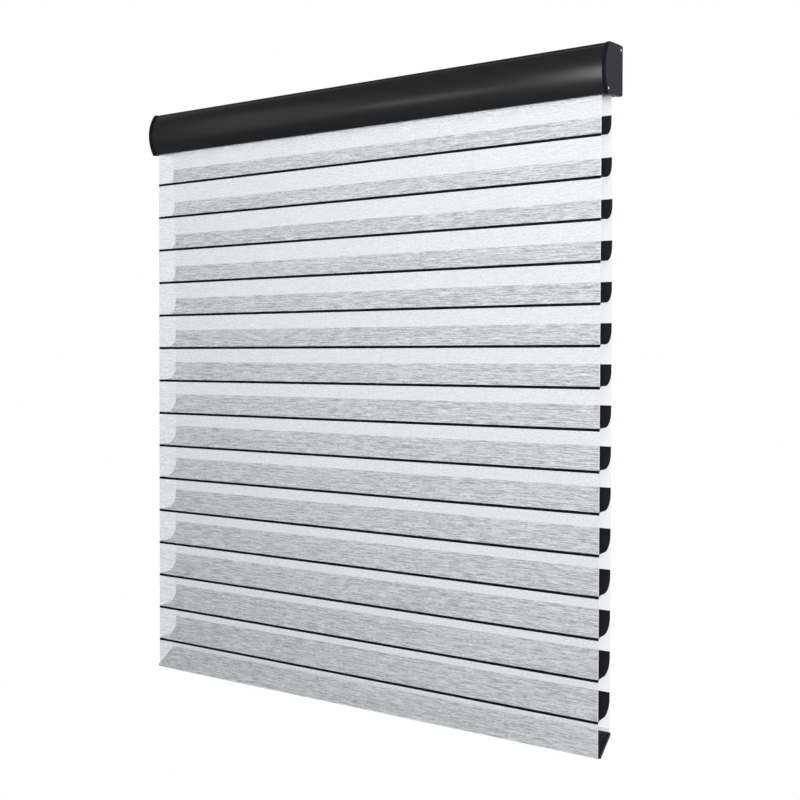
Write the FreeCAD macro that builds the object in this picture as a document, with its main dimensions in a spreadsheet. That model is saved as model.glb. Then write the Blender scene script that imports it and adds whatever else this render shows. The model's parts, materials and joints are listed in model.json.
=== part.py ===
# Vaned sheer shade: a roller cassette, a double sheer with fifteen S-shaped vanes, and a bottom rail.
# Millimetres. X runs along the shade's width, the front looks towards -Y, +Z is up.
# The wall is the plane Y = 0. The origin is the centre of the four wall screw holes in the two brackets.
import math
import os

import FreeCAD
import Part
import Sketcher
from FreeCAD import Vector

SIZES = [
    ("fabric_width", 1088.0, "width of both sheers and of every vane"),
    ("vane_count", 15, "vanes between the sheers"),
    ("vane_pitch", 75.0, "from one vane's front line to the next"),
    ("vane_drop", 42.3, "height between a vane's back edge and its front line"),
    ("vane_thickness", 0.6, ""),
    ("vane_bend", 28.0, "radius of the vane's large forward bend"),
    ("vane_hook", 3.0, "radius of the small bend onto the front sheer"),
    ("vane_fall", 0.5, "slope of the vane's flat stretch, degrees below level"),
    ("sheer_gap", 53.4, "from the front sheer's face to the back sheer's face"),
    ("sheer_thickness", 0.5, ""),
    ("fabric_stand", 62.0, "from the wall to the front sheer's face"),
    ("first_line_drop", 138.3, "first front line below the wall holes' centre"),
    ("lean_drop", 246.3, "the back sheer leans forward above this depth"),
    ("line_height", 4.6, "height of a front weld line"),
    ("band_height", 3.0, "height of a back weld band"),
    ("band_thickness", 0.3, ""),
    ("soft_gap", 0.3, "room between soft pieces and what carries them"),
    ("cassette_top", 27.5, "rear of the head rail's top above the wall holes' centre"),
    ("top_fall", 4.4, "the top's front corner is that much lower"),
    ("top_level", 14.0, "level rear part of the top, from the wall"),
    ("cassette_height", 91.3, "at the front"),
    ("foot_rise", 6.6, "foot of the rear plate above the fascia's foot"),
    ("fascia_top_set", 1.1, "top front corner behind the front sheer's face"),
    ("fascia_bulge_set", 16.6, "foremost point of the fascia ahead of that face"),
    ("fascia_bulge_drop", 26.2, "foremost point below the wall holes' centre"),
    ("fascia_foot_set", 3.4, "foot of the fascia ahead of that face"),
    ("profile_wall", 1.6, "wall of the head rail and the fascia"),
    ("nose_height", 3.5, "nose of the head rail above the fascia"),
    ("nose_depth", 2.0, ""),
    ("nose_groove", 0.8, "dark joint between nose and fascia"),
    ("tongue_thickness", 1.4, "hanging tongue of the fascia and its keeper finger"),
    ("tongue_play", 0.3, ""),
    ("finger_length", 6.0, "keeper finger below the top plate"),
    ("foot_lip", 3.0, "inturned lip at the fascia's foot"),
    ("foot_lip_rise", 3.0, ""),
    ("back_recess", 5.5, "rear plate of the head rail ahead of the wall"),
    ("hook_set", 2.4, "rear hook of the head rail ahead of the wall"),
    ("hook_thickness", 1.2, ""),
    ("hook_drop", 7.3, "length of the rear hook"),
    ("ledge_drop", 31.0, "latch ledge below the wall holes' centre"),
    ("ledge_set", 2.4, "back edge of the latch ledge ahead of the wall"),
    ("mouth_flange", 8.0, "rear flange beside the mouth"),
    ("mouth_lip_rise", 3.0, ""),
    ("port_bore", 3.0, "screw port bore in the profiles"),
    ("port_wall", 1.7, ""),
    ("port_slot", 1.4, "open slot of a screw port"),
    ("rear_port_set", 9.5, "rear port ahead of the wall"),
    ("rear_port_drop", 7.5, "rear port below the cassette's top"),
    ("front_port_set", 4.4, "front port behind the fascia's face"),
    ("front_port_rise", 9.1, "front port above the cassette's foot"),
    ("cap_reach", 14.9, "outer face of an end cap beyond the fabric's edge"),
    ("cap_plate", 2.5, "thickness of the end cap's plate"),
    ("cap_rim", 7.5, "width of the end cap's rim along the cassette"),
    ("cap_proud", 1.0, "end cap's rim proud of the profiles"),
    ("cap_corner", 6.0, "rounded rear bottom corner of the end cap"),
    ("cap_back_set", 0.5, "back of the end cap ahead of the wall"),
    ("cap_play", 0.2, "room round the profiles inside the rim"),
    ("end_play", 0.3, "room at the ends of the profiles and of the roller"),
    ("screw_head", 5.0, "diameter of an end cap screw's head"),
    ("screw_head_height", 1.4, ""),
    ("screw_sink", 1.0, "depth of the seat in the end cap"),
    ("screw_shank", 2.9, "diameter"),
    ("screw_length", 14.0, ""),
    ("tube_set", 22.7, "roller axis behind the front sheer's face"),
    ("tube_drop", 17.0, "roller axis below the wall holes' centre"),
    ("tube_diameter", 38.0, ""),
    ("tube_wall", 1.2, ""),
    ("groove_width", 5.0, "spline groove in the tube"),
    ("groove_depth", 3.0, ""),
    ("tube_spline", 3.6, "width of the plastic strip that holds the fabric"),
    ("wound_radius", 20.8, "outside of the fabric wound at rest"),
    ("wound_thickness", 0.35, "one wound layer"),
    ("wound_turns", 1.5, "turns of the spiral at rest"),
    ("head_flange", 4.2, "thickness of the motor head"),
    ("head_radius", 16.0, ""),
    ("head_spigot", 16.0, "length of the spigot that carries the tube's end"),
    ("spigot_play", 0.3, ""),
    ("motor_diameter", 25.0, ""),
    ("motor_length", 400.0, ""),
    ("shaft_diameter", 8.0, "motor output shaft and idler pin"),
    ("shaft_reach", 18.0, "output shaft beyond the motor"),
    ("shaft_seat", 12.0, "output shaft inside the motor"),
    ("running_play", 0.05, "radial clearance of every turning shaft"),
    ("crown_thickness", 14.0, ""),
    ("plug_length", 24.0, "idler plug inside the tube"),
    ("plug_flange", 1.3, ""),
    ("plug_play", 0.3, "room between tube and plugs"),
    ("pin_length", 20.0, "idler pin"),
    ("boss_radius", 7.0, "pin boss on the end cap"),
    ("boss_length", 4.0, ""),
    ("button_diameter", 2.8, "setting button"),
    ("button_length", 4.0, ""),
    ("button_proud", 1.0, ""),
    ("bracket_plate", 2.0, "thickness of a mounting bracket"),
    ("bracket_width", 32.0, ""),
    ("bracket_spacing", 820.0, "distance between the brackets' centres"),
    ("wall_hole", 5.0, "diameter"),
    ("wall_hole_spacing", 22.0, "height between a bracket's two holes"),
    ("bracket_foot", 26.0, "bottom of a bracket below the holes' centre"),
    ("shelf_height", 18.2, "underside of the bracket's shelf"),
    ("lip_thickness", 1.2, "bracket's lip under the rear hook"),
    ("rivet_drop", 19.0, "latch rivet below the holes' centre"),
    ("rivet_diameter", 3.0, ""),
    ("rivet_head", 5.4, ""),
    ("rivet_head_height", 0.9, ""),
    ("latch_thickness", 1.0, ""),
    ("latch_round", 4.0, "round part of the latch cam"),
    ("latch_nose", 3.0, "half width of the cam's nose"),
    ("fit_play", 0.1, "room round small fixed parts"),
    ("overcut", 1.0, "how far a cut runs past the face that it opens"),
    ("rail_thickness", 8.0, "bottom rail"),
    ("rail_wall", 1.4, ""),
    ("rail_tip_fall", 65.0, "lowest point of the bottom rail below the last front line"),
    ("rail_rise", 35.8, "highest point of the bottom rail above its lowest point"),
    ("rail_back_set", 11.0, "rearmost point of the rail ahead of the wall"),
    ("rail_reach", 3.0, "end of the rail beyond the fabric's edge"),
    ("rail_cap", 2.5, "thickness of a rail end cap"),
    ("rail_spline", 3.0, "diameter of the hem rods in the rail"),
    ("spline_play", 0.25, ""),
    ("hem_height", 10.0, "stiffened hem above the rail's pivot line"),
    ("hem_thickness", 0.8, ""),
    ("hem_bead", 1.8, "diameter of the bead on the pivot line"),
    ("hem_tail", 0.8, "thickness of the fabric tails on the hem rods"),
]

doc = FreeCAD.newDocument("sheer_shade")
sheet = doc.addObject("Spreadsheet::Sheet", "Sizes")
for row, (alias, value, note) in enumerate(SIZES, start=1):
    sheet.set(f"A{row}", alias.replace("_", " "))
    sheet.set(f"B{row}", str(value))
    sheet.set(f"C{row}", note)
    sheet.setAlias(f"B{row}", alias)
doc.recompute()

parts = []


def size(name):
    """The value of a named size in the sheet."""
    return float(sheet.get(name))


def turned(heading, radius):
    """A vector of that length, heading in degrees from +Y towards +Z."""
    return Vector(radius * math.cos(math.radians(heading)), radius * math.sin(math.radians(heading)), 0)


class Outline:
    """A closed outline in the (Y, Z) plane, made of lines and arcs."""

    def __init__(self, y, z):
        self.first = self.last = Vector(y, z, 0)
        self.edges = []

    def line(self, y, z):
        to = Vector(y, z, 0)
        if (to - self.last).Length > 1e-6:
            self.edges.append(Part.LineSegment(self.last, to))
        self.last = to
        return self

    def arc(self, centre, to, clockwise):
        """An arc about centre to the point to, which is on the same circle."""
        radius = (self.last - centre).Length
        a = math.atan2(self.last.y - centre.y, self.last.x - centre.x)
        b = math.atan2(to.y - centre.y, to.x - centre.x)
        start, end = (b, a) if clockwise else (a, b)
        circle = Part.Circle(centre, Vector(0, 0, 1), radius)
        self.edges.append(Part.ArcOfCircle(circle, start, end))
        self.last = to
        return self

    def close(self):
        self.line(self.first.x, self.first.y)
        return self.edges


def circle(y, z, radius):
    return [Part.Circle(Vector(y, z, 0), Vector(0, 0, 1), radius)]


def box(y0, z0, y1, z1):
    return Outline(y0, z0).line(y1, z0).line(y1, z1).line(y0, z1).close()


def ribbon(start, heading, steps, thickness):
    """A strip of even thickness. Its steps are (length, 0) or (radius, turn), with turn in degrees."""
    half = thickness / 2
    sides = []
    for side in (half, -half):
        point, angle, edges = start, heading, []
        for first, turn in steps:
            offset = turned(angle + 90, side)
            if turn == 0:
                end = point + turned(angle, first)
                edges.append(("line", point + offset, end + offset, None, False))
            else:
                centre = point + turned(angle + 90 * (1 if turn > 0 else -1), first)
                end = centre + turned(angle - 90 * (1 if turn > 0 else -1) + turn, first)
                angle_end = angle + turn
                edges.append(("arc", point + offset, end + turned(angle_end + 90, side), centre, turn < 0))
                angle = angle_end
            point = end
        sides.append(edges)
    out = Outline(sides[0][0][1].x, sides[0][0][1].y)
    for kind, _, b, centre, clockwise in sides[0]:
        out = out.line(b.x, b.y) if kind == "line" else out.arc(centre, b, clockwise)
    tail = sides[1][-1][2]
    out.line(tail.x, tail.y)
    for kind, a, _, centre, clockwise in reversed(sides[1]):
        out = out.line(a.x, a.y) if kind == "line" else out.arc(centre, a, not clockwise)
    return out.close()


def new_body(label):
    body = doc.addObject("PartDesign::Body", label)
    body.Label = label
    parts.append(body)
    return body


def sketch_on(body, name, edges, role, start):
    """A sketch on one of the body's own origin planes, start (an expression) away from it."""
    sketch = body.newObject("Sketcher::SketchObject", name)
    plane = next(f for f in body.Origin.OriginFeatures if f.Role == role)
    sketch.AttachmentSupport = [(plane, "")]
    sketch.MapMode = "FlatFace"
    sketch.setExpression("AttachmentOffset.Base.z", start)
    for edge in edges:
        sketch.addGeometry(edge)
    return sketch


def extrude(body, edges, start, length, cut=False, role="YZ_Plane"):
    """Pads, or cuts, an outline from start over length along the plane's normal; both are expressions."""
    number = len(body.Group)
    sketch = sketch_on(body, f"{body.Name}_sketch{number}", edges, role, start)
    kind = "PartDesign::Pocket" if cut else "PartDesign::Pad"
    feature = body.newObject(kind, f"{body.Name}_{'cut' if cut else 'pad'}{number}")
    feature.Profile = sketch
    feature.setExpression("Length", length)
    feature.Reversed = cut
    body.Tip = feature
    return feature


def across(label, edges, width):
    """A piece with one section all along the shade's width, centred."""
    body = new_body(label)
    extrude(body, edges, f"-({width}) / 2", width)
    return body


def group(label, shapes):
    """Identical fasteners: separate solids in one node."""
    piece = doc.addObject("Part::Feature", label)
    piece.Label = label
    piece.Shape = Part.makeCompound(shapes)
    parts.append(piece)
    return piece


def rod(x0, x1, y, z, radius):
    return Part.makeCylinder(radius, x1 - x0, Vector(x0, y, z), Vector(1, 0, 0))


# Places shared by several pieces
FRONT = -size("fabric_stand")
BACK = FRONT + size("sheer_gap")
TOP = size("cassette_top")
FRONT_TOP = TOP - size("top_fall")
FOOT = FRONT_TOP - size("cassette_height")
REAR_FOOT = FOOT + size("foot_rise")
KNEE = -size("top_level")
WALL = size("profile_wall")
TUBE = Vector(FRONT + size("tube_set"), -size("tube_drop"), 0)
HALF_FABRIC = "Sizes.fabric_width / 2"
CAP_IN = "(Sizes.fabric_width / 2 + Sizes.cap_reach - Sizes.cap_plate)"
PROFILE_LENGTH = f"2 * ({CAP_IN} - Sizes.end_play)"
GAP_SAMPLES = 60


def line_z(k):
    """Height of the front line of vane k, counted from 1 at the top."""
    return -size("first_line_drop") - (k - 1) * size("vane_pitch")


def rail_tip():
    """Height of the bottom rail's lowest point."""
    return line_z(size("vane_count")) - size("rail_tip_fall")


def back_face(z):
    """Y of the back sheer's front face: upright below lean_drop, leaning to the roller above it."""
    top_z = TUBE.y
    top_y = TUBE.x + size("wound_radius") + size("soft_gap")
    share = (z + size("lean_drop")) / (top_z + size("lean_drop"))
    return BACK + (top_y - BACK) * max(0.0, share)


def fascia_circle():
    """Centre and radius of the fascia's outer arc, through its top corner, its bulge and its foot."""
    points = [
        Vector(FRONT + size("fascia_top_set"), FRONT_TOP, 0),
        Vector(FRONT - size("fascia_bulge_set"), -size("fascia_bulge_drop"), 0),
        Vector(FRONT - size("fascia_foot_set"), FOOT, 0),
    ]
    arc = Part.Arc(*points).toShape().Curve
    return Vector(arc.Center.x, arc.Center.y, 0), arc.Radius


ARC_CENTRE, ARC_RADIUS = fascia_circle()


def arc_point(z, radius):
    """The point of a circle about the fascia's centre at height z, on its front side."""
    return Vector(ARC_CENTRE.x - math.sqrt(radius**2 - (z - ARC_CENTRE.y) ** 2), z, 0)


def plate_top(y):
    """Height of the head rail's top: level at the rear, falling to the front corner."""
    nose = FRONT + size("fascia_top_set")
    return TOP - size("top_fall") * max(0.0, (KNEE - y) / (KNEE - nose))


# Head rail: top plate with a nose, keeper finger, rear plate, rear hook, latch ledge and mouth flange
def head_rail():
    nose = arc_point(FRONT_TOP, ARC_RADIUS).x
    nose_foot = arc_point(FRONT_TOP - size("nose_height"), ARC_RADIUS)
    nose_back = nose + size("nose_depth")
    hook = -size("hook_set")
    hook_front = hook - size("hook_thickness")
    hook_foot = TOP - size("hook_drop")
    plate = -size("back_recess")
    under = TOP - WALL
    tongue = size("tongue_thickness")
    finger = nose_back + 2 * size("tongue_play") + tongue
    finger_back = finger + tongue
    finger_foot = FRONT_TOP - WALL - size("finger_length")
    ledge = -size("ledge_drop")
    ledge_back = -size("ledge_set")
    lip = plate - size("mouth_flange")
    floor = REAR_FOOT + WALL
    rise = floor + size("mouth_lip_rise")
    out = Outline(nose, FRONT_TOP)
    out.arc(ARC_CENTRE, nose_foot, clockwise=False).line(nose_back, nose_foot.y)
    out.line(nose_back, plate_top(nose_back) - WALL).line(finger, plate_top(finger) - WALL)
    out.line(finger, finger_foot).line(finger_back, finger_foot)
    out.line(finger_back, plate_top(finger_back) - WALL)
    out.line(KNEE, under).line(plate - WALL, under)
    out.line(plate - WALL, floor).line(lip + WALL, floor).line(lip + WALL, rise)
    out.line(lip, rise).line(lip, REAR_FOOT).line(plate, REAR_FOOT)
    out.line(plate, ledge - size("hook_thickness")).line(ledge_back, ledge - size("hook_thickness"))
    out.line(ledge_back, ledge).line(plate, ledge).line(plate, under)
    out.line(hook_front, under).line(hook_front, hook_foot).line(hook, hook_foot)
    out.line(hook, TOP).line(KNEE, TOP)
    body = across("head_rail", out.close(), PROFILE_LENGTH)
    add_port(body, -size("rear_port_set"), TOP - size("rear_port_drop"), -1)


def add_port(body, y, z, slot_side):
    """A round screw port along the profile, open by a slot on one side."""
    outer = size("port_bore") / 2 + size("port_wall")
    extrude(body, circle(y, z, outer), f"-({PROFILE_LENGTH}) / 2", PROFILE_LENGTH)
    extrude(body, circle(y, z, size("port_bore") / 2), f"-({PROFILE_LENGTH}) / 2", PROFILE_LENGTH, cut=True)
    slot = size("port_slot") / 2
    reach = y + slot_side * (outer + size("overcut"))
    slot_box = box(min(y, reach), z - slot, max(y, reach), z + slot)
    extrude(body, slot_box, f"-({PROFILE_LENGTH}) / 2", PROFILE_LENGTH, cut=True)


# Front fascia: bowed front with a hanging tongue at the top and an inturned lip at its foot
def fascia_port():
    z = FOOT + size("front_port_rise")
    return arc_point(z, ARC_RADIUS).x + size("front_port_set"), z


def front_fascia():
    inner = ARC_RADIUS - WALL
    top = FRONT_TOP - size("nose_height") - size("nose_groove")
    tongue = FRONT + size("fascia_top_set") + size("nose_depth") + size("tongue_play")
    tongue_back = tongue + size("tongue_thickness")
    tongue_top = FRONT_TOP - WALL - size("tongue_play")
    start = arc_point(top, ARC_RADIUS)
    lip = FRONT - size("fascia_foot_set") + size("foot_lip")
    lip_top = FOOT + size("foot_lip_rise")
    out = Outline(start.x, start.y)
    out.arc(ARC_CENTRE, arc_point(FOOT, ARC_RADIUS), clockwise=False)
    out.line(lip, FOOT).line(lip, lip_top).line(lip - WALL, lip_top)
    foot_in = arc_point(FOOT + WALL, inner)
    out.line(lip - WALL, FOOT + WALL).line(foot_in.x, foot_in.y)
    out.arc(ARC_CENTRE, arc_point(top - WALL, inner), clockwise=True)
    out.line(tongue_back, top - WALL).line(tongue_back, tongue_top)
    out.line(tongue, tongue_top).line(tongue, top)
    body = across("front_fascia", out.close(), PROFILE_LENGTH)
    y, z = fascia_port()
    add_port(body, y, z, 1)


# End caps: a plate and a rim that sleeves over the profiles, with screw seats and the roller's seat
def cap_outline(grow):
    """The cassette's outline grown by grow, with a rounded rear bottom corner."""
    radius = ARC_RADIUS + grow
    back = -size("cap_back_set") - size("cap_proud") + grow
    corner = size("cap_corner") - size("cap_proud") + grow
    foot = arc_point(FOOT - grow, radius)
    mouth_front = FRONT - size("fascia_foot_set") + size("foot_lip") + grow
    mouth_back = -size("back_recess") - size("mouth_flange") - grow
    floor = REAR_FOOT - grow
    out = Outline(*arc_point(FRONT_TOP + grow, radius)[:2])
    out.arc(ARC_CENTRE, foot, clockwise=False)
    out.line(mouth_front, FOOT - grow).line(mouth_back, floor).line(back - corner, floor)
    centre = Vector(back - corner, floor + corner, 0)
    out.arc(centre, Vector(back, floor + corner, 0), clockwise=False)
    out.line(back, TOP + grow).line(KNEE, TOP + grow)
    return out.close()


def end_cap(label, side):
    """side is -1 at the left end, beside the motor, and 1 at the right end, which carries the idler pin."""
    body = new_body(label)
    plate, rim = "Sizes.cap_plate", "Sizes.cap_rim"
    outer = f"({HALF_FABRIC} + Sizes.cap_reach)"
    rim_start = f"{outer} - {rim}" if side > 0 else f"-{outer}"
    extrude(body, cap_outline(size("cap_proud")), rim_start, rim)
    hollow_start = rim_start if side > 0 else f"-{outer} + {plate}"
    extrude(body, cap_outline(size("cap_play")), hollow_start, f"{rim} - {plate}", cut=True)
    if side > 0:
        boss = circle(TUBE.x, TUBE.y, size("boss_radius"))
        bore = circle(TUBE.x, TUBE.y, size("shaft_diameter") / 2 + size("running_play"))
        boss_start = f"{CAP_IN} - Sizes.boss_length"
        boss_depth = "Sizes.boss_length + 0.5 * Sizes.cap_plate"
        extrude(body, boss, boss_start, boss_depth)
        extrude(body, bore, boss_start, boss_depth, cut=True)
    for y, z in screw_places():
        hole = circle(y, z, size("screw_shank") / 2 + size("fit_play"))
        plate_start = CAP_IN if side > 0 else f"-{outer}"
        extrude(body, hole, plate_start, plate, cut=True)
        seat = circle(y, z, size("screw_head") / 2 + size("fit_play"))
        seat_start = f"{outer} - Sizes.screw_sink" if side > 0 else f"-{outer}"
        extrude(body, seat, seat_start, "Sizes.screw_sink", cut=True)


def screw_places():
    return [(-size("rear_port_set"), TOP - size("rear_port_drop")), fascia_port()]


def end_cap_screws():
    outer = size("fabric_width") / 2 + size("cap_reach")
    seat = outer - size("screw_sink")
    solids = []
    for side in (-1, 1):
        for y, z in screw_places():
            head_end = seat + size("screw_head_height")
            head = rod(seat, head_end, y, z, size("screw_head") / 2)
            rim = [e for e in head.Edges if abs(e.BoundBox.XMin - head_end) < 1e-6 and e.Closed]
            head = head.makeChamfer(size("screw_head_height") / 2, rim[:1])
            shank = rod(seat - size("screw_length"), seat, y, z, size("screw_shank") / 2)
            screw = head.fuse(shank).removeSplitter()
            if side < 0:
                screw = screw.mirror(Vector(0, 0, 0), Vector(1, 0, 0))
            solids.append(screw)
    group("end_cap_screws", solids)


# Mounting brackets: wall plate with two holes, shelf and lip under the head rail's rear hook
def bracket(label, side):
    body = new_body(label)
    plate = size("bracket_plate")
    lip_back = -size("back_recess") + size("soft_gap")
    lip_top = TOP - WALL - size("soft_gap")
    shelf = size("shelf_height")
    lip_thickness = size("lip_thickness")
    out = Outline(0, -size("bracket_foot")).line(0, shelf + lip_thickness)
    out.line(lip_back + lip_thickness, shelf + lip_thickness)
    out.line(lip_back + lip_thickness, lip_top).line(lip_back, lip_top)
    out.line(lip_back, shelf).line(-plate, shelf).line(-plate, -size("bracket_foot"))
    centre = f"{side} * Sizes.bracket_spacing / 2"
    extrude(body, out.close(), f"{centre} - Sizes.bracket_width / 2", "Sizes.bracket_width")
    x = side * size("bracket_spacing") / 2
    holes = [
        (size("wall_hole_spacing") / 2, size("wall_hole") / 2),
        (-size("wall_hole_spacing") / 2, size("wall_hole") / 2),
        (-size("rivet_drop"), size("rivet_diameter") / 2 + size("running_play")),
    ]
    # the sketch on the XZ plane has its own X along +X and its normal along -Y
    for z, radius in holes:
        extrude(body, circle(x, z, radius), "0", "Sizes.bracket_plate", cut=True, role="XZ_Plane")


def latch(label, side):
    """A cam under the bracket's rivet. Its nose stands over the head rail's ledge and keeps the cassette on."""
    body = new_body(label)
    x = side * size("bracket_spacing") / 2
    z = -size("rivet_drop")
    half = size("latch_nose")
    pivot_point = Vector(x, z, 0)
    shoulder = math.sqrt(size("latch_round") ** 2 - half**2)
    reach = size("ledge_drop") - size("rivet_drop") - size("soft_gap")
    tip = math.sqrt(reach**2 - half**2)
    out = Outline(x - half, z - shoulder)
    out.line(x - half, z - tip)
    out.arc(pivot_point, Vector(x + half, z - tip, 0), clockwise=False)
    out.line(x + half, z - shoulder)
    out.arc(pivot_point, Vector(x - half, z - shoulder, 0), clockwise=False)
    start = "Sizes.bracket_plate + Sizes.fit_play"
    extrude(body, out.edges, start, "Sizes.latch_thickness", role="XZ_Plane")
    bore = circle(x, z, size("rivet_diameter") / 2 + size("running_play"))
    extrude(body, bore, start, "Sizes.latch_thickness", cut=True, role="XZ_Plane")


def latch_rivets():
    head_at = -size("bracket_plate") - size("latch_thickness") - 2 * size("fit_play")
    solids = []
    for side in (-1, 1):
        x = side * size("bracket_spacing") / 2
        base = Vector(x, 0, -size("rivet_drop"))
        shank = Part.makeCylinder(size("rivet_diameter") / 2, -head_at, base, Vector(0, -1, 0))
        head_base = base + Vector(0, head_at, 0)
        head_radius = size("rivet_head") / 2
        head = Part.makeCylinder(head_radius, size("rivet_head_height"), head_base, Vector(0, -1, 0))
        solids.append(shank.fuse(head).removeSplitter())
    group("latch_rivets", solids)


# Motor at the left end, inside the roller tube
def motor():
    groove_in = size("tube_diameter") / 2 - size("groove_depth") - size("tube_wall")
    head = new_body("motor_head")
    start = f"-{CAP_IN}"
    extrude(head, circle(TUBE.x, TUBE.y, size("head_radius")), start, "Sizes.head_flange")
    spigot = circle(TUBE.x, TUBE.y, groove_in - size("spigot_play"))
    extrude(head, spigot, f"{start} + Sizes.head_flange", "Sizes.head_spigot")
    button_x = -(size("fabric_width") / 2 + size("cap_reach") - size("cap_plate")) + size("head_flange") / 2
    hole = circle(button_x, TUBE.x, size("button_diameter") / 2 + size("running_play"))
    foot = "(-Sizes.tube_drop - Sizes.head_radius)"
    extrude(head, hole, foot, "Sizes.button_length + Sizes.button_proud", cut=True, role="XY_Plane")

    button = new_body("setting_button")
    press = circle(button_x, TUBE.x, size("button_diameter") / 2)
    extrude(button, press, f"{foot} - Sizes.button_proud", "Sizes.button_length", role="XY_Plane")

    case = new_body("motor_case")
    case_start = f"{start} + Sizes.head_flange + Sizes.head_spigot"
    extrude(case, circle(TUBE.x, TUBE.y, size("motor_diameter") / 2), case_start, "Sizes.motor_length")
    shaft_bore = circle(TUBE.x, TUBE.y, size("shaft_diameter") / 2 + size("running_play"))
    seat = f"{case_start} + Sizes.motor_length - Sizes.shaft_seat"
    extrude(case, shaft_bore, seat, "Sizes.shaft_seat", cut=True)

    shaft = new_body("motor_shaft")
    shaft_start = f"{seat} + Sizes.end_play"
    shaft_length = "Sizes.shaft_seat + Sizes.shaft_reach - Sizes.end_play"
    extrude(shaft, circle(TUBE.x, TUBE.y, size("shaft_diameter") / 2), shaft_start, shaft_length)

    crown_start = f"{case_start} + Sizes.motor_length + 0.5 * (Sizes.shaft_reach - Sizes.crown_thickness)"
    crown = new_body("drive_crown")
    add_keyed_disc(crown, crown_start, "Sizes.crown_thickness")


def add_keyed_disc(body, start, length):
    """A disc that fills the tube, notched for its two spline grooves and bored for an 8 mm shaft."""
    radius = size("tube_diameter") / 2 - size("tube_wall") - size("plug_play")
    extrude(body, circle(TUBE.x, TUBE.y, radius), start, length)
    notch = size("groove_width") / 2 + size("tube_wall") + size("plug_play")
    floor = size("tube_diameter") / 2 - size("groove_depth") - size("tube_wall") - size("plug_play")
    for way in (-1, 1):
        low, high = sorted((TUBE.x + way * floor, TUBE.x + way * (radius + size("overcut"))))
        extrude(body, box(low, TUBE.y - notch, high, TUBE.y + notch), start, length, cut=True)
    bore = circle(TUBE.x, TUBE.y, size("shaft_diameter") / 2 + size("running_play"))
    extrude(body, bore, start, length, cut=True)


# Roller tube with two spline grooves, its strips, its idler end and the fabric wound on it
def roller():
    tube_start = f"-{CAP_IN} + Sizes.head_flange + Sizes.end_play"
    tube_end = f"({CAP_IN} - Sizes.boss_length - Sizes.end_play - Sizes.plug_flange)"
    length = f"{tube_end} - ({tube_start})"
    outer = size("tube_diameter") / 2
    groove = size("groove_width") / 2
    wall = size("tube_wall")
    bottom = outer - size("groove_depth")
    tube = new_body("roller_tube")
    extrude(tube, circle(TUBE.x, TUBE.y, outer), tube_start, length)
    extrude(tube, circle(TUBE.x, TUBE.y, outer - wall), tube_start, length, cut=True)
    for way in (-1, 1):
        low, high = sorted((TUBE.x + way * (bottom - wall), TUBE.x + way * (outer - wall / 2)))
        channel = box(low, TUBE.y - groove - wall, high, TUBE.y + groove + wall)
        extrude(tube, channel, tube_start, length)
        low, high = sorted((TUBE.x + way * bottom, TUBE.x + way * (outer + wall)))
        extrude(tube, box(low, TUBE.y - groove, high, TUBE.y + groove), tube_start, length, cut=True)

    strips = []
    width = size("fabric_width")
    height = size("tube_spline")
    strip_in = bottom + size("fit_play")
    strip_out = outer - size("soft_gap")
    for way in (-1, 1):
        low, high = sorted((TUBE.x + way * strip_in, TUBE.x + way * strip_out))
        strips.append(Part.makeBox(width, high - low, height, Vector(-width / 2, low, TUBE.y - height / 2)))
    group("tube_strips", strips)

    plug = new_body("idler_plug")
    plug_start = f"{tube_end} - Sizes.plug_length"
    add_keyed_disc(plug, plug_start, "Sizes.plug_length")
    extrude(plug, circle(TUBE.x, TUBE.y, outer), tube_end, "Sizes.plug_flange")
    bore = circle(TUBE.x, TUBE.y, size("shaft_diameter") / 2 + size("running_play"))
    extrude(plug, bore, tube_end, "Sizes.plug_flange", cut=True)

    pin = new_body("idler_pin")
    pin_start = f"{CAP_IN} + 0.5 * Sizes.cap_plate - Sizes.pin_length"
    extrude(pin, circle(TUBE.x, TUBE.y, size("shaft_diameter") / 2), pin_start, "Sizes.pin_length")
    wound_fabric()


def wound_fabric():
    """The fabric left on the tube when the shade is down: a spiral of half circles, each a little wider."""
    layer = size("wound_thickness")
    halves = round(2 * size("wound_turns"))
    room = size("wound_radius") - layer / 2 - (size("tube_diameter") / 2 + layer / 2)
    step = room / halves
    radius = size("tube_diameter") / 2 + layer / 2 + size("running_play")
    steps = []
    for turn in range(halves):
        steps.append((radius + step * (turn + 0.5) - size("running_play") * (turn + 1) / halves, 180))
    start = Vector(TUBE.x + radius, TUBE.y, 0)
    across("wound_fabric", ribbon(start, 90, steps, layer), "Sizes.fabric_width")
    print(f"least gap between wound layers {spiral_gap(start, steps) - layer:.2f} mm")


def spiral_gap(start, steps):
    """The least distance between the centre lines of two turns of a spiral of half circles."""
    points = []
    point, angle = start, 90
    for radius, turn in steps:
        centre = point + turned(angle + 90, radius)
        points += [centre + turned(angle - 90 + turn * i / GAP_SAMPLES, radius) for i in range(GAP_SAMPLES)]
        angle += turn
        point = centre + turned(angle - 90, radius)
    return min((a - b).Length for i, a in enumerate(points) for b in points[i + GAP_SAMPLES:])


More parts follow.
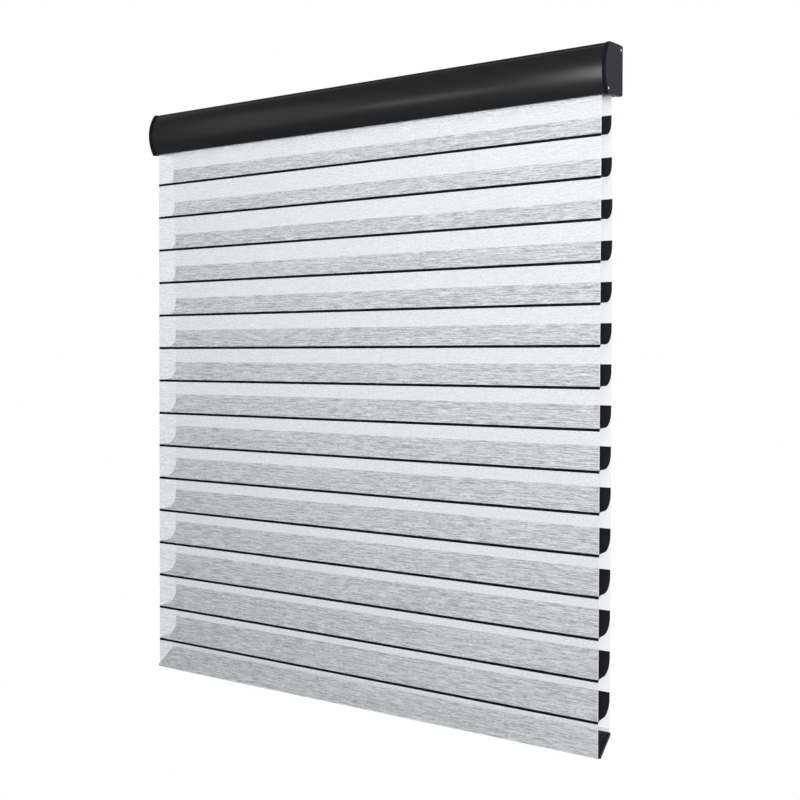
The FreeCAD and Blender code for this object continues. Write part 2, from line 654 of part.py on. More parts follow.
# Sheers
def sheers():
    thick = size("sheer_thickness")
    top = TUBE.y
    first = line_z(1)
    lead_top = TUBE.x - size("wound_radius") - size("soft_gap") - thick
    upright = first + size("vane_hook") + size("vane_thickness")
    lead = Outline(lead_top, top).line(FRONT, upright).line(FRONT, first)
    lead.line(FRONT + thick, first).line(FRONT + thick, upright).line(lead_top + thick, top)
    across("front_lead", lead.close(), "Sizes.fabric_width")

    across("front_sheer", box(FRONT, rail_tip(), FRONT + thick, first), "Sizes.fabric_width")

    lean = -size("lean_drop")
    hem_top = pivot().y + size("hem_height")
    back = Outline(back_face(top), top).line(BACK, lean).line(BACK, hem_top).line(BACK + thick, hem_top)
    back.line(BACK + thick, lean).line(back_face(top) + thick, top)
    across("back_sheer", back.close(), "Sizes.fabric_width")

    band = size("band_thickness")
    width = size("fabric_width")
    lines = []
    for k in range(1, int(size("vane_count")) + 1):
        base = Vector(-width / 2, FRONT - band, line_z(k) - size("line_height") / 2)
        lines.append(Part.makeBox(width, band, size("line_height"), base))
    group("front_weld_lines", lines)


# Vanes, each with the weld band that holds its back edge to the back sheer
def vane(k):
    thick = size("vane_thickness")
    band = size("band_thickness")
    top = line_z(k) + size("vane_drop")
    weld_face = back_face(top) - band
    forward = weld_face - thick / 2 - (FRONT + size("sheer_thickness") + thick / 2)
    fall = math.radians(size("vane_fall"))
    bends = size("vane_bend") + size("vane_hook")
    flat = (forward - bends * (1 - math.sin(fall))) / math.cos(fall)
    upright = size("vane_drop") - bends * math.cos(fall) - flat * math.sin(fall)
    turn = 90 - size("vane_fall")
    steps = [(upright, 0), (size("vane_bend"), -turn), (flat, 0), (size("vane_hook"), turn)]
    start = Vector(weld_face - thick / 2, top, 0)
    across(f"vane_{k:02d}", ribbon(start, -90, steps, thick), "Sizes.fabric_width")
    weld = box(weld_face, top - size("band_height"), weld_face + band, top)
    across(f"back_weld_{k:02d}", weld, "Sizes.fabric_width")


# Bottom rail: a flat bar that slopes down to the front, with a hem rod in each rounded edge
def pivot():
    """The line on the back sheer that the rail swings about, where one more vane would have its back edge."""
    return Vector(BACK + size("sheer_thickness") / 2, rail_tip() + size("vane_drop"), 0)


def rail_ends():
    """Centres of the rail's front and back rounded edges."""
    half = size("rail_thickness") / 2
    sheer_back = FRONT + size("sheer_thickness")
    front = Vector(sheer_back + size("spline_play") + half, rail_tip() + half, 0)
    back = Vector(-size("rail_back_set") - half, rail_tip() + size("rail_rise") - half, 0)
    return front, back


def rail_outline(half):
    front, back = rail_ends()
    slope = math.degrees(math.atan2(back.y - front.y, back.x - front.x))
    up = turned(slope + 90, half)
    out = Outline(*(front + up)[:2])
    out.arc(front, front - up, clockwise=False)
    out.line(*(back - up)[:2])
    out.arc(back, back + up, clockwise=False)
    return out.close()


def rail_chamber():
    """The hollow between the two rod seats."""
    front, back = rail_ends()
    slope = math.degrees(math.atan2(back.y - front.y, back.x - front.x))
    half = size("rail_thickness") / 2
    room = half - size("rail_wall")
    along = turned(slope, half + size("rail_wall"))
    up = turned(slope + 90, room)
    a, b = front + along, back - along
    out = Outline(*(a - up)[:2]).line(*(b - up)[:2]).line(*(b + up)[:2]).line(*(a + up)[:2])
    return out.close()


def slit(start, end, half):
    """A thin parallelogram from start to end."""
    way = math.degrees(math.atan2(end.y - start.y, end.x - start.x))
    side = turned(way + 90, half)
    out = Outline(*(start - side)[:2]).line(*(end - side)[:2])
    return out.line(*(end + side)[:2]).line(*(start + side)[:2]).close()


def bottom_rail():
    front, back = rail_ends()
    half = size("rail_thickness") / 2
    rail_length = "Sizes.fabric_width + 2 * (Sizes.rail_reach - Sizes.rail_cap)"
    body = across("bottom_rail", rail_outline(half), rail_length)
    start = f"-({rail_length}) / 2"
    extrude(body, rail_chamber(), start, rail_length, cut=True)
    seat = size("rail_spline") / 2 + size("spline_play")
    tail_half = size("hem_tail") / 2
    hem_end = pivot() - Vector(0, size("hem_bead") / 2 + size("soft_gap"), 0)
    front_end = Vector(FRONT + size("sheer_thickness") + size("fit_play"), front.y, 0)
    for centre, end in ((front, front_end), (back, hem_end)):
        extrude(body, circle(centre.x, centre.y, seat), start, rail_length, cut=True)
        extrude(body, slit(centre, end, tail_half + size("spline_play")), start, rail_length, cut=True)

    rods = []
    rod_length = size("fabric_width")
    for centre, end in ((front, front_end), (back, hem_end)):
        hem_rod = rod(-rod_length / 2, rod_length / 2, centre.x, centre.y, size("rail_spline") / 2)
        tail = Part.Face(Part.Wire([e.toShape() for e in slit(centre, end, tail_half)]))
        # from the outline's own plane to the plane across the shade's left end
        upright = FreeCAD.Matrix(0, 0, 1, -rod_length / 2, 1, 0, 0, 0, 0, 1, 0, 0, 0, 0, 0, 1)
        tail = tail.transformGeometry(upright).extrude(Vector(rod_length, 0, 0))
        rods.append(hem_rod.fuse(tail).removeSplitter())
    group("hem_rods", rods)

    for label, side in (("left_rail_cap", -1), ("right_rail_cap", 1)):
        cap = new_body(label)
        rail_end = f"({HALF_FABRIC} + Sizes.rail_reach)"
        cap_start = f"{rail_end} - Sizes.rail_cap" if side > 0 else f"-{rail_end}"
        extrude(cap, rail_outline(half), cap_start, "Sizes.rail_cap")


def back_hem():
    """The stiffened hem of the back sheer, which ends in a bead on the pivot line."""
    at = pivot()
    body = across("back_hem", circle(at.x, at.y, size("hem_bead") / 2), "Sizes.fabric_width")
    face = BACK + size("soft_gap")
    strip = box(face, at.y, face + size("hem_thickness"), at.y + size("hem_height"))
    extrude(body, strip, "-Sizes.fabric_width / 2", "Sizes.fabric_width")


def build():
    head_rail()
    front_fascia()
    end_cap("left_end_cap", -1)
    end_cap("right_end_cap", 1)
    end_cap_screws()
    bracket("left_bracket", -1)
    bracket("right_bracket", 1)
    latch("left_latch", -1)
    latch("right_latch", 1)
    latch_rivets()
    motor()
    roller()
    sheers()
    for k in range(1, int(size("vane_count")) + 1):
        vane(k)
    bottom_rail()
    back_hem()


def write_parts():
    """Checks every object and writes each sub-part's shape to parts/NODE.step."""
    doc.recompute()
    for thing in doc.Objects:
        if "Invalid" in thing.State or "Error" in thing.State:
            raise RuntimeError(f"{thing.Label} is {thing.State}")
    os.makedirs("parts", exist_ok=True)
    for piece in parts:
        shape = piece.Shape
        if shape.isNull() or not shape.isValid() or not shape.Solids:
            raise RuntimeError(f"{piece.Label} has no valid solid")
        shape.exportStep(os.path.join("parts", f"{piece.Label}.step"))
    print(f"{len(parts)} sub-parts written")


build()
write_parts()
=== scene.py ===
# Vaned sheer shade: fabric, finishes, studio light and the photograph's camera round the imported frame.
# Metres, in the frame of the CAD: X along the width, the front looks towards -Y, +Z is up.
import json
import math

import bpy
from mathutils import Matrix, Vector


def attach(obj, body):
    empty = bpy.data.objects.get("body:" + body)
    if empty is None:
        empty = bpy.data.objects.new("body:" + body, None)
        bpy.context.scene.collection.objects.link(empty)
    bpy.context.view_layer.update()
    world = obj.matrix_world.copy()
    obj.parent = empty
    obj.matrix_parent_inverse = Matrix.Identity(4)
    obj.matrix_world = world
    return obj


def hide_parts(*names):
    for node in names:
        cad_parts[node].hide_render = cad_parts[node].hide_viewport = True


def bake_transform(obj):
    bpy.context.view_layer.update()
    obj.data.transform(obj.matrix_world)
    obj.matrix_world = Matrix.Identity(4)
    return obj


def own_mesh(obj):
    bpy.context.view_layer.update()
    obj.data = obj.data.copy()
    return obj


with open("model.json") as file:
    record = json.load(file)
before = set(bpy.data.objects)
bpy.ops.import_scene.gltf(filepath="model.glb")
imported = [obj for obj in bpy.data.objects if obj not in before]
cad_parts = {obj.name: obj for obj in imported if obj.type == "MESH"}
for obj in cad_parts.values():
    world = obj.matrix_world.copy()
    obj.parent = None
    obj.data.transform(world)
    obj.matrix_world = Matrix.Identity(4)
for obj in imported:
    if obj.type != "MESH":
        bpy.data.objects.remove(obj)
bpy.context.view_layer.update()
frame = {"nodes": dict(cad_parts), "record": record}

# Sizes of the soft pieces, as in the part's source
VANES = 15
PITCH = 0.075
DROP = 0.0423
WIDTH = 1.088
FRONT = -0.062
BACK = -0.0086
FIRST_LINE = -0.1383
LEAN_FOOT = -0.2463
TUBE_Y = -0.0393
TUBE_Z = -0.017
TUBE_RADIUS = 0.019
WOUND_RADIUS = 0.0208
WOUND_LAYER = 0.00035
WOUND_TURNS = 1.5
SHEER = 0.0005
SOFT_GAP = 0.0003
BAND = 0.0003
BAND_HEIGHT = 0.003
VANE = 0.0006
BEND = 0.028
HOOK = 0.003
FALL = math.radians(0.5)
RAIL_TIP = -1.2533
HEM_HEIGHT = 0.010
PIVOT_Z = RAIL_TIP + DROP
HEM_TOP = PIVOT_Z + HEM_HEIGHT
BACK_FIXED = HEM_TOP + (FIRST_LINE - RAIL_TIP)
HALF = WIDTH / 2
LEAD_Y = TUBE_Y - WOUND_RADIUS - SOFT_GAP - SHEER / 2
FACE_Y = FRONT + SHEER / 2
HEM_Y = BACK + SHEER / 2

# The scene's own sizes: the front line, a bit higher than its solid, and the wound cloth's room on the tube
LINE_HEIGHT = 0.0052
WOUND_CLEARANCE = 0.00005

# Sections of the bands, in shares of their thickness and height: the front line's shoulders stand out and up
# by the first two, the rear band's edge is as thick as the third and rounded over the fourth
LINE_SHOULDER_OUT = 0.6
LINE_SHOULDER_UP = 0.8
WELD_EDGE = 0.4
WELD_ROUND = 0.3

# How finely the cloth is divided
COLUMNS = 48
WELD_COLUMNS = 12
WOUND_COLUMNS = 8
BEND_STEPS = 10
HALF_TURN_STEPS = 24
UPRIGHT_STEPS = 3
FLAT_STEPS = 4
SLANT_STEPS = 3
LEAD_STEPS = 8
LEAD_FOOT_STEPS = 2
BACK_LEAD_STEPS = 6
HEM_STEPS = 6
SHEER_STEPS = 90

# Unevenness of the hanging cloth. A wave is radians per metre along X and Z, and where it starts
RIPPLE = 0.0002
SLOW_WAVE = (7.3, 2.1, 0.4)
CROSS_WAVE = (-1.7, 3.1, 0.0)
FAST_WAVE = (23, 5, 1.3)
SLOW_SHARE = 0.7
FAST_SHARE = 0.3

# The sheers' slub yarns: how each noise is stretched along X, Y and Z, where it starts, and its share
LONG_SLUBS = (34, 3, 920)
SHORT_SLUBS = (130, 3, 1250)
SHORT_PLACE = (3.7, 0, 1.9)
SHORT_SHARE = 0.9
CLOUDS = (3, 3, 800)
CLOUDS_PLACE = (1.2, 0, 5.1)
CLOUDS_SHARE = 0.5
SLUBS_LOW = 0.95
SLUBS_HIGH = 1.45
SELVEDGE = 0.0016
SELVEDGE_BLUR = 0.0005
SELVEDGE_COVER = 0.93

# Grain of the black weave, of paint and plastic, and of metal
RIBS = (300, 1500, 1500)
MOTTLE = (14, 14, 14)
MOTTLE_PLACE = (4.0, 2.0, 7.0)
GRAIN_SHARE = 0.6
MOTTLE_SHARE = 0.4
COAT_ROUGHNESS_SPREAD = 0.05
METAL_ROUGHNESS_SPREAD = 0.08
METAL_DEPTH = 0.00005

# A noise texture's own roughness, and the two values that it mostly stays between
NOISE_ROUGHNESS = 0.6
NOISE_LOW = 0.3
NOISE_HIGH = 0.7


# Geometry
def line_z(k):
    """Height of the front line of vane k, counted from 1 at the top."""
    return FIRST_LINE - (k - 1) * PITCH


def back_face(z):
    """Y of the back sheer's front face: upright at the bottom, leaning to the roller at the top."""
    top_y = TUBE_Y + WOUND_RADIUS + SOFT_GAP
    share = (z - LEAN_FOOT) / (TUBE_Z - LEAN_FOOT)
    return BACK + (top_y - BACK) * max(0.0, share)


def arc(centre, radius, start, end, steps):
    """Points of an arc in (y, z), angles in radians, without the first."""
    points = []
    for i in range(1, steps + 1):
        angle = start + (end - start) * i / steps
        points.append((centre[0] + radius * math.cos(angle), centre[1] + radius * math.sin(angle)))
    return points


def straight(a, b, steps):
    """Points from a to b in (y, z), without the first."""
    points = []
    for i in range(1, steps + 1):
        points.append((a[0] + (b[0] - a[0]) * i / steps, a[1] + (b[1] - a[1]) * i / steps))
    return points


def vane_profile(k):
    """A vane's section from its back edge to its front line: upright, a large bend, flat, a short slant."""
    top = line_z(k) + DROP
    back_y = back_face(top) - BAND - VANE / 2
    forward = back_y - (FRONT + SHEER + VANE / 2)
    flat = (forward - (BEND + HOOK) * (1 - math.sin(FALL))) / math.cos(FALL)
    upright = DROP - (BEND + HOOK) * math.cos(FALL) - flat * math.sin(FALL)
    points = [(back_y, top)]
    points += straight(points[-1], (back_y, top - upright), UPRIGHT_STEPS)
    centre = (back_y - BEND, top - upright)
    points += arc(centre, BEND, 0.0, -math.pi / 2 + FALL, BEND_STEPS)
    end = (points[-1][0] - flat * math.cos(FALL), points[-1][1] - flat * math.sin(FALL))
    points += straight(points[-1], end, FLAT_STEPS)
    tip = (end[0] - HOOK * (1 - math.sin(FALL)), end[1] - HOOK * math.cos(FALL))
    points += straight(points[-1], tip, SLANT_STEPS)
    return points


def line_profile(k):
    """Section of the black line on the front sheer at vane k."""
    middle = line_z(k)
    half = LINE_HEIGHT / 2
    shoulder_y = FRONT - LINE_SHOULDER_OUT * BAND
    return [
        (FRONT, middle + half),
        (shoulder_y, middle + LINE_SHOULDER_UP * half),
        (FRONT - BAND, middle),
        (shoulder_y, middle - LINE_SHOULDER_UP * half),
        (FRONT, middle - half),
    ]


def weld_profile(k):
    """Section of the weld band on the back sheer at vane k."""
    top = line_z(k) + DROP
    foot = top - BAND_HEIGHT
    weld_y = back_face(top)
    return [
        (weld_y - WELD_EDGE * BAND, top),
        (weld_y - BAND, top - WELD_ROUND * BAND_HEIGHT),
        (weld_y - BAND, top - (1 - WELD_ROUND) * BAND_HEIGHT),
        (back_face(foot) - WELD_EDGE * BAND, foot),
    ]


def back_profile(top, foot, steps):
    """The back sheer's middle from one height down to another."""
    points = []
    for i in range(steps + 1):
        z = top + (foot - top) * i / steps
        points.append((back_face(z) + SHEER / 2, z))
    return points


def wound_profile():
    """The spiral of half circles round the tube, from the rear."""
    first = TUBE_RADIUS + WOUND_LAYER / 2 + WOUND_CLEARANCE
    halves = round(2 * WOUND_TURNS)
    step = (WOUND_RADIUS - WOUND_LAYER / 2 - first) / halves
    points = [(TUBE_Y + first, TUBE_Z)]
    for turn in range(halves):
        radius = first + step * (turn + 0.5)
        start = math.pi * turn
        side = 1 if turn % 2 == 0 else -1
        centre = (points[-1][0] - side * radius, TUBE_Z)
        points += arc(centre, radius, start, start + math.pi, HALF_TURN_STEPS)
    return points


def wave(x, z, form):
    along_x, along_z, start = form
    return math.sin(along_x * x + along_z * z + start)


def ripple(x, z):
    """A soft unevenness of hanging cloth, at most 1 either way."""
    slow = wave(x, z, SLOW_WAVE) * wave(x, z, CROSS_WAVE)
    return SLOW_SHARE * slow + FAST_SHARE * wave(x, z, FAST_WAVE)


def new_object(name, verts, faces):
    mesh = bpy.data.meshes.new(name)
    mesh.from_pydata(verts, [], faces)
    mesh.polygons.foreach_set("use_smooth", [True] * len(mesh.polygons))
    mesh.update()
    piece = bpy.data.objects.new(name, mesh)
    bpy.context.scene.collection.objects.link(piece)
    return piece


def rows_to_mesh(name, profiles, columns=COLUMNS, stray=0.0):
    """A sheet for each profile of (y, z) points, all across the width, as one object."""
    verts = []
    faces = []
    across = columns + 1
    for profile in profiles:
        first = len(verts)
        for y, z in profile:
            for c in range(across):
                x = -HALF + 2 * HALF * c / columns
                verts.append((x, y + stray * ripple(x, z), z))
        for r in range(len(profile) - 1):
            for c in range(columns):
                a = first + r * across + c
                faces.append((a, a + across, a + across + 1, a + 1))
    return new_object(name, verts, faces)


# Materials
def new_material(name, roughness):
    material = bpy.data.materials.new(name)
    material.use_nodes = True
    shader = material.node_tree.nodes["Principled BSDF"]
    shader.inputs["Roughness"].default_value = roughness
    return material, material.node_tree, shader


def axes_of(tree, output):
    """X, Y and Z of a texture coordinate."""
    coordinates = tree.nodes.new("ShaderNodeTexCoord")
    axes = tree.nodes.new("ShaderNodeSeparateXYZ")
    tree.links.new(coordinates.outputs[output], axes.inputs[0])
    return axes.outputs


def noise(tree, scale, detail, place=(0.0, 0.0, 0.0)):
    """A noise texture over the object's own coordinates, with a scale for each axis."""
    coordinates = tree.nodes.new("ShaderNodeTexCoord")
    mapping = tree.nodes.new("ShaderNodeMapping")
    mapping.inputs["Scale"].default_value = scale
    mapping.inputs["Location"].default_value = place
    texture = tree.nodes.new("ShaderNodeTexNoise")
    texture.inputs["Scale"].default_value = 1.0
    texture.inputs["Detail"].default_value = detail
    texture.inputs["Roughness"].default_value = NOISE_ROUGHNESS
    tree.links.new(coordinates.outputs["Object"], mapping.inputs["Vector"])
    tree.links.new(mapping.outputs["Vector"], texture.inputs["Vector"])
    return texture.outputs["Fac"]


def remap(tree, value, low, high, to_low, to_high):
    node = tree.nodes.new("ShaderNodeMapRange")
    node.inputs["From Min"].default_value = low
    node.inputs["From Max"].default_value = high
    node.inputs["To Min"].default_value = to_low
    node.inputs["To Max"].default_value = to_high
    tree.links.new(value, node.inputs["Value"])
    return node.outputs["Result"]


def math_node(tree, operation, a, b):
    node = tree.nodes.new("ShaderNodeMath")
    node.operation = operation
    for socket, value in zip(node.inputs, (a, b)):
        if isinstance(value, (int, float)):
            socket.default_value = value
        else:
            tree.links.new(value, socket)
    return node.outputs[0]


def add_share(tree, value, other, share):
    """The value plus a share of the other."""
    return math_node(tree, "ADD", value, math_node(tree, "MULTIPLY", other, share))


def paint(tree, shader, value, dark, light):
    """Base colour between two tones, by a noise."""
    ramp = tree.nodes.new("ShaderNodeValToRGB")
    ramp.color_ramp.elements[0].position = NOISE_LOW
    ramp.color_ramp.elements[0].color = (*dark, 1)
    ramp.color_ramp.elements[1].position = NOISE_HIGH
    ramp.color_ramp.elements[1].color = (*light, 1)
    tree.links.new(value, ramp.inputs["Fac"])
    tree.links.new(ramp.outputs["Color"], shader.inputs["Base Color"])


def paint_around(tree, shader, value, tone, darker, lighter):
    """Base colour about one tone, from its darker to its lighter multiple."""
    paint(tree, shader, value, [darker * c for c in tone], [lighter * c for c in tone])


def vary_roughness(tree, shader, value, roughness, spread):
    rough = remap(tree, value, NOISE_LOW, NOISE_HIGH, roughness - spread, roughness + spread)
    tree.links.new(rough, shader.inputs["Roughness"])


def bump(tree, shader, value, distance, strength):
    node = tree.nodes.new("ShaderNodeBump")
    node.inputs["Strength"].default_value = strength
    node.inputs["Distance"].default_value = distance
    tree.links.new(value, node.inputs["Height"])
    tree.links.new(node.outputs["Normal"], shader.inputs["Normal"])


def selvedge(tree, alpha):
    """The two side edges of the cloth are woven closer."""
    from_middle = math_node(tree, "ABSOLUTE", axes_of(tree, "Object")["X"], 0.0)
    inner = HALF - SELVEDGE
    edge = remap(tree, from_middle, inner - SELVEDGE_BLUR, inner, 0.0, SELVEDGE_COVER)
    return math_node(tree, "MAXIMUM", alpha, edge)


def let_light_through(tree, shader, share, colour):
    """Mix the shader with a translucent one and give it to the output."""
    through = tree.nodes.new("ShaderNodeBsdfTranslucent")
    through.inputs["Color"].default_value = colour
    mix = tree.nodes.new("ShaderNodeMixShader")
    mix.inputs["Fac"].default_value = share
    tree.links.new(shader.outputs[0], mix.inputs[1])
    tree.links.new(through.outputs[0], mix.inputs[2])
    tree.links.new(mix.outputs[0], tree.nodes["Material Output"].inputs["Surface"])


def sheer_material(name, cover, swing, dark, light, through):
    """White sheer with uneven slub yarns across it.

    It is as solid as cover on average, and lets light by in the share that through says.
    """
    material, tree, shader = new_material(name, roughness=0.85)
    long_slubs = noise(tree, LONG_SLUBS, detail=0.6)
    short_slubs = noise(tree, SHORT_SLUBS, detail=0.8, place=SHORT_PLACE)
    clouds = noise(tree, CLOUDS, detail=1.0, place=CLOUDS_PLACE)
    slubs = add_share(tree, long_slubs, short_slubs, SHORT_SHARE)
    slubs = add_share(tree, slubs, clouds, CLOUDS_SHARE)
    alpha = remap(tree, slubs, SLUBS_LOW, SLUBS_HIGH, cover - swing, cover + swing)
    tree.links.new(selvedge(tree, alpha), shader.inputs["Alpha"])
    paint(tree, shader, long_slubs, dark, light)
    shader.inputs["Sheen Weight"].default_value = 0.1
    bump(tree, shader, slubs, distance=0.0001, strength=0.1)
    if through:
        let_light_through(tree, shader, through, colour=(0.93, 0.94, 0.96, 1))
    return material


def woven_black(name, tone):
    """Close-woven black polyester, with a fine rib along the width."""
    material, tree, shader = new_material(name, roughness=0.8)
    ribs = noise(tree, RIBS, detail=1.0)
    paint_around(tree, shader, ribs, tone, darker=0.75, lighter=1.3)
    shader.inputs["Specular IOR Level"].default_value = 0.1
    bump(tree, shader, ribs, distance=0.0002, strength=0.6)
    return material


def coated(name, tone, roughness, grain, depth, specular=0.5):
    """Powder coat or moulded plastic: an even tone with a fine grain."""
    material, tree, shader = new_material(name, roughness)
    grains = noise(tree, (grain, grain, grain), detail=3.0)
    mottle = noise(tree, MOTTLE, detail=1.0, place=MOTTLE_PLACE)
    mixed = add_share(tree, math_node(tree, "MULTIPLY", grains, GRAIN_SHARE), mottle, MOTTLE_SHARE)
    paint_around(tree, shader, mixed, tone, darker=0.86, lighter=1.14)
    vary_roughness(tree, shader, grains, roughness, COAT_ROUGHNESS_SPREAD)
    shader.inputs["Specular IOR Level"].default_value = specular
    bump(tree, shader, grains, depth, strength=0.5)
    return material


def metal(name, tone, roughness, stretch):
    """Bare or plated metal, grained as the stretch along X, Y and Z says."""
    material, tree, shader = new_material(name, roughness)
    lines = noise(tree, stretch, detail=2.0)
    paint_around(tree, shader, lines, tone, darker=0.9, lighter=1.06)
    vary_roughness(tree, shader, lines, roughness, METAL_ROUGHNESS_SPREAD)
    shader.inputs["Metallic"].default_value = 1.0
    bump(tree, shader, lines, METAL_DEPTH, strength=0.4)
    return material


front_cloth = sheer_material(
    "front_cloth", cover=0.75, swing=0.32, dark=(0.875, 0.90, 0.93), light=(0.89, 0.915, 0.945), through=0.0
)
back_cloth = sheer_material(
    "back_cloth", cover=0.86, swing=0.06, dark=(0.86, 0.87, 0.89), light=(0.90, 0.91, 0.93), through=0.8
)
black_cloth = woven_black("black_cloth", tone=(0.016, 0.0155, 0.018))
weld_black = coated(
    "weld_black", tone=(0.007, 0.007, 0.0075), roughness=0.85, grain=900, depth=0.0001, specular=0.1
)
powder = coated(
    "powder_coat", tone=(0.0155, 0.0155, 0.0165), roughness=0.31, grain=1400, depth=0.00008, specular=0.36
)
cap_plastic = coated(
    "cap_plastic", tone=(0.0105, 0.012, 0.018), roughness=0.42, grain=1100, depth=0.00006, specular=0.05
)
rail_coat = coated("rail_coat", tone=(0.009, 0.009, 0.010), roughness=0.45, grain=1400, depth=0.00008)
nylon = coated("nylon", tone=(0.02, 0.02, 0.021), roughness=0.5, grain=900, depth=0.00008)
motor_paint = coated("motor_paint", tone=(0.07, 0.073, 0.08), roughness=0.4, grain=1200, depth=0.00005)
button_grey = coated("button_grey", tone=(0.5, 0.5, 0.52), roughness=0.3, grain=700, depth=0.00003)
strip_white = coated("strip_white", tone=(0.68, 0.68, 0.66), roughness=0.45, grain=500, depth=0.00005)
bright_zinc = metal("bright_zinc", tone=(0.86, 0.86, 0.88), roughness=0.22, stretch=(900, 900, 900))
zinc_plate = metal("zinc_plate", tone=(0.6, 0.61, 0.63), roughness=0.35, stretch=(900, 900, 60))
mill_finish = metal("mill_finish", tone=(0.72, 0.73, 0.75), roughness=0.32, stretch=(12, 900, 900))

# Finish of each material slot, and of the nodes that differ from their slot
FINISHES = {
    "powder_black": powder,
    "cap_black": cap_plastic,
    "zinc_screws": bright_zinc,
    "zinc_steel": zinc_plate,
    "tube_aluminium": mill_finish,
    "motor_shell": motor_paint,
    "motor_plastic": nylon,
    "button_plastic": button_grey,
    "strip_plastic": strip_white,
    "white_sheer": back_cloth,
    "black_vane": black_cloth,
}
SPECIAL = {
    "bottom_rail": rail_coat,
    "hem_rods": back_cloth,
}
for part in frame["record"]["subparts"]:
    node = frame["nodes"][part["node"]]
    finish = SPECIAL.get(part["node"], FINISHES[part["material_slot"]])
    node.data.materials.clear()
    node.data.materials.append(finish)

# Rounded edges on the rigid pieces that show: the rounding's width by node
ROUNDED = {
    "left_end_cap": 0.0005,
    "right_end_cap": 0.0005,
    "left_rail_cap": 0.0004,
    "right_rail_cap": 0.0004,
    "head_rail": 0.0002,
    "front_fascia": 0.0002,
    "end_cap_screws": 0.0002,
}
JOIN_DISTANCE = 1e-5
ROUND_SEGMENTS = 2
ROUND_FROM_ANGLE = math.radians(35)


def soften(name, width):
    node = frame["nodes"][name]
    weld = node.modifiers.new("join", "WELD")
    weld.merge_threshold = JOIN_DISTANCE
    bevel = node.modifiers.new("edge", "BEVEL")
    bevel.width = width
    bevel.segments = ROUND_SEGMENTS
    bevel.limit_method = "ANGLE"
    bevel.angle_limit = ROUND_FROM_ANGLE
    bevel.harden_normals = True


for name, width in ROUNDED.items():
    soften(name, width)


# Fabric
def dress(piece, material, nodes):
    piece.data.materials.append(material)
    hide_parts(*nodes)
    return piece


lead_foot = (FACE_Y, FIRST_LINE + HOOK + VANE)
lead_points = [(LEAD_Y, TUBE_Z)] + straight((LEAD_Y, TUBE_Z), lead_foot, LEAD_STEPS)
lead_points += straight(lead_foot, (FACE_Y, FIRST_LINE), LEAD_FOOT_STEPS)
front_lead = rows_to_mesh("front_lead_cloth", [lead_points])
dress(front_lead, front_cloth, ["front_lead"])
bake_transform(front_lead)

sheer_points = [(FACE_Y, FIRST_LINE)]
sheer_points += straight((FACE_Y, FIRST_LINE), (FACE_Y, RAIL_TIP + SOFT_GAP), SHEER_STEPS)
front_sheer = rows_to_mesh("front_sheer_cloth", [sheer_points], stray=RIPPLE)
dress(front_sheer, front_cloth, ["front_sheer"])
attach(front_sheer, "front_sheer")
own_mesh(front_sheer)

front_lines = rows_to_mesh("front_lines", [line_profile(k) for k in range(1, VANES + 1)])
dress(front_lines, weld_black, ["front_weld_lines"])
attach(front_lines, "front_sheer")
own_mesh(front_lines)

back_lead_points = back_profile(TUBE_Z, BACK_FIXED, BACK_LEAD_STEPS)
back_lead = rows_to_mesh("back_lead_cloth", [back_lead_points])
dress(back_lead, back_cloth, ["back_sheer"])
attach(back_lead, "cassette")
back_sheer_points = back_profile(BACK_FIXED, HEM_TOP, SHEER_STEPS)
back_sheer = rows_to_mesh("back_sheer_cloth", [back_sheer_points], stray=RIPPLE)
dress(back_sheer, back_cloth, ["back_sheer"])
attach(back_sheer, "cassette")
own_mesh(back_sheer)

hem_points = [(HEM_Y, HEM_TOP)] + straight((HEM_Y, HEM_TOP), (HEM_Y, PIVOT_Z), HEM_STEPS)
hem = rows_to_mesh("back_hem_cloth", [hem_points])
dress(hem, back_cloth, ["back_hem"])
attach(hem, "rear_hem")

for k in range(1, VANES + 1):
    points = vane_profile(k)
    vane = rows_to_mesh(f"vane_cloth_{k:02d}", [points])
    dress(vane, black_cloth, [f"vane_{k:02d}"])
    carrier = "cassette" if k == 1 else f"back_weld_{k:02d}"
    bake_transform(vane)

    weld = rows_to_mesh(f"back_weld_cloth_{k:02d}", [weld_profile(k)], columns=WELD_COLUMNS)
    dress(weld, weld_black, [f"back_weld_{k:02d}"])
    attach(weld, carrier)

wound_points = wound_profile()
wound = rows_to_mesh("wound_cloth", [wound_points], columns=WOUND_COLUMNS)
dress(wound, back_cloth, ["wound_fabric"])
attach(wound, "roller")

# Camera, as fitted to the photograph: its place, its turns and its lens, in the photograph's pixels
EYE = Vector((1.3156, -1.905, -0.5369))
YAW = math.radians(32.9756)
TILT = math.radians(1.035)
ROLL = math.radians(0.1276)
FOCAL_PIXELS = 1105.3
RISE_PIXELS = 21.2
PICTURE = 800
SENSOR = 36.0

forward = Vector((-math.sin(YAW) * math.cos(TILT), math.cos(YAW) * math.cos(TILT), -math.sin(TILT)))
level = Vector((math.cos(YAW), math.sin(YAW), 0))
upward = level.cross(forward)
right = math.cos(ROLL) * level + math.sin(ROLL) * upward
upward = math.cos(ROLL) * upward - math.sin(ROLL) * level
lens = bpy.data.cameras.new("camera")
lens.sensor_width = SENSOR
lens.lens = FOCAL_PIXELS / PICTURE * SENSOR
lens.shift_y = -RISE_PIXELS / PICTURE
camera = bpy.data.objects.new("camera", lens)
camera.matrix_world = Matrix((right, upward, -forward)).transposed().to_4x4()
camera.location = EYE
bpy.context.scene.collection.objects.link(camera)
bpy.context.scene.camera = camera
bpy.context.scene.view_settings.view_transform = "Standard"

# Studio: dim in front of the shade and bright behind it, by direction in the sky and by place on the floor
WHITE = (1, 1, 1, 1)
DIM_FRONT = 0.12
SKY_FROM = 0.05
SKY_TO = 0.45
SKY_REAR = 0.78
FLOOR_FROM = -0.3
FLOOR_TO = 0.2
FLOOR_REAR = 0.7
FLOOR_Z = -1.9
FLOOR_HALF = 30.0

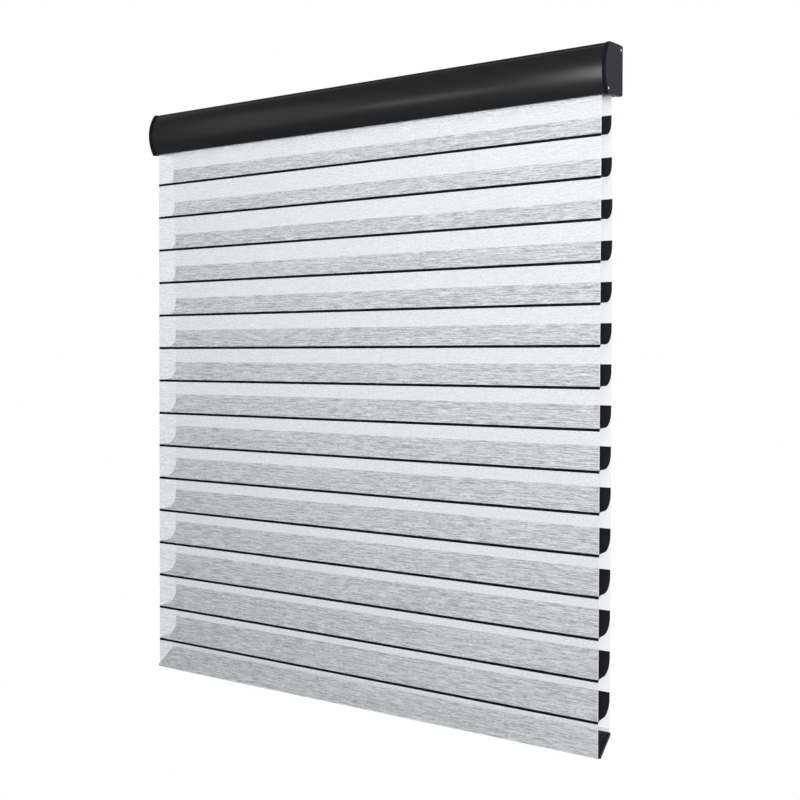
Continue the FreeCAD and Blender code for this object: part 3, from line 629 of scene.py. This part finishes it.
# Lamps: name, place, what they point at, width and height, power in watts
LAMPS = (
    ("key", (1.7, -3.0, 0.4), (0.7, 0, 0.4), (1.4, 1.4), 97),
    ("fill", (3.0, -2.6, -1.6), (0, 0, -0.7), (1.6, 1.2), 2),
    ("strip", (-0.55, -2.3, 0.0), (0.5, 0, -0.03), (1.2, 0.24), 5.3),
    ("side", (-2.4, -2.2, 0.4), (-0.3, 0, -0.2), (2.0, 2.2), 9.5),
    ("rear", (0.6, 2.4, 1.4), (0.2, 0, -0.3), (2.5, 1.2), 5),
)


def seen_white(tree, value, start, end):
    """1 to the camera's rays. To gloss and to light let through it rises from 0 at start to 1 at end."""
    rays = tree.nodes.new("ShaderNodeLightPath").outputs
    mirrored = math_node(tree, "MAXIMUM", rays["Is Glossy Ray"], rays["Is Transmission Ray"])
    behind = remap(tree, value, start, end, 0.0, 1.0)
    mirrored = math_node(tree, "MULTIPLY", mirrored, behind)
    return math_node(tree, "MAXIMUM", rays["Is Camera Ray"], mirrored)


def area_light(name, place, target, size, power):
    light = bpy.data.lights.new(name, "AREA")
    light.shape = "RECTANGLE"
    light.size, light.size_y = size
    light.energy = power
    lamp = bpy.data.objects.new(name, light)
    lamp.location = place
    lamp.rotation_euler = (Vector(target) - Vector(place)).to_track_quat("-Z", "Y").to_euler()
    bpy.context.scene.collection.objects.link(lamp)


world = bpy.data.worlds.new("studio")
bpy.context.scene.world = world
world.use_nodes = True
sky = world.node_tree
sky.nodes.clear()
rearward = axes_of(sky, "Generated")["Y"]
strength = sky.nodes.new("ShaderNodeMix")
sky.links.new(seen_white(sky, rearward, SKY_FROM, SKY_TO), strength.inputs["Factor"])
sky.links.new(remap(sky, rearward, SKY_FROM, SKY_TO, DIM_FRONT, SKY_REAR), strength.inputs["A"])
strength.inputs["B"].default_value = 1.0
lit = sky.nodes.new("ShaderNodeBackground")
lit.inputs["Color"].default_value = WHITE
sky.links.new(strength.outputs["Result"], lit.inputs["Strength"])
sky_out = sky.nodes.new("ShaderNodeOutputWorld")
sky.links.new(lit.outputs[0], sky_out.inputs["Surface"])

for lamp in LAMPS:
    area_light(*lamp)

floor_corners = [(-1, -1), (1, -1), (1, 1), (-1, 1)]
floor_verts = [(x * FLOOR_HALF, y * FLOOR_HALF, FLOOR_Z) for x, y in floor_corners]
floor = new_object("floor", floor_verts, [(0, 1, 2, 3)])
floor_paint = bpy.data.materials.new("floor_white")
floor_paint.use_nodes = True
tree = floor_paint.node_tree
tree.nodes.clear()
glow = tree.nodes.new("ShaderNodeEmission")
rearward = axes_of(tree, "Object")["Y"]
lit_floor = remap(tree, rearward, FLOOR_FROM, FLOOR_TO, DIM_FRONT, FLOOR_REAR)
shown = math_node(tree, "MAXIMUM", lit_floor, seen_white(tree, rearward, FLOOR_FROM, FLOOR_TO))
tree.links.new(shown, glow.inputs["Strength"])
out = tree.nodes.new("ShaderNodeOutputMaterial")
tree.links.new(glow.outputs[0], out.inputs["Surface"])
floor.data.materials.append(floor_paint)
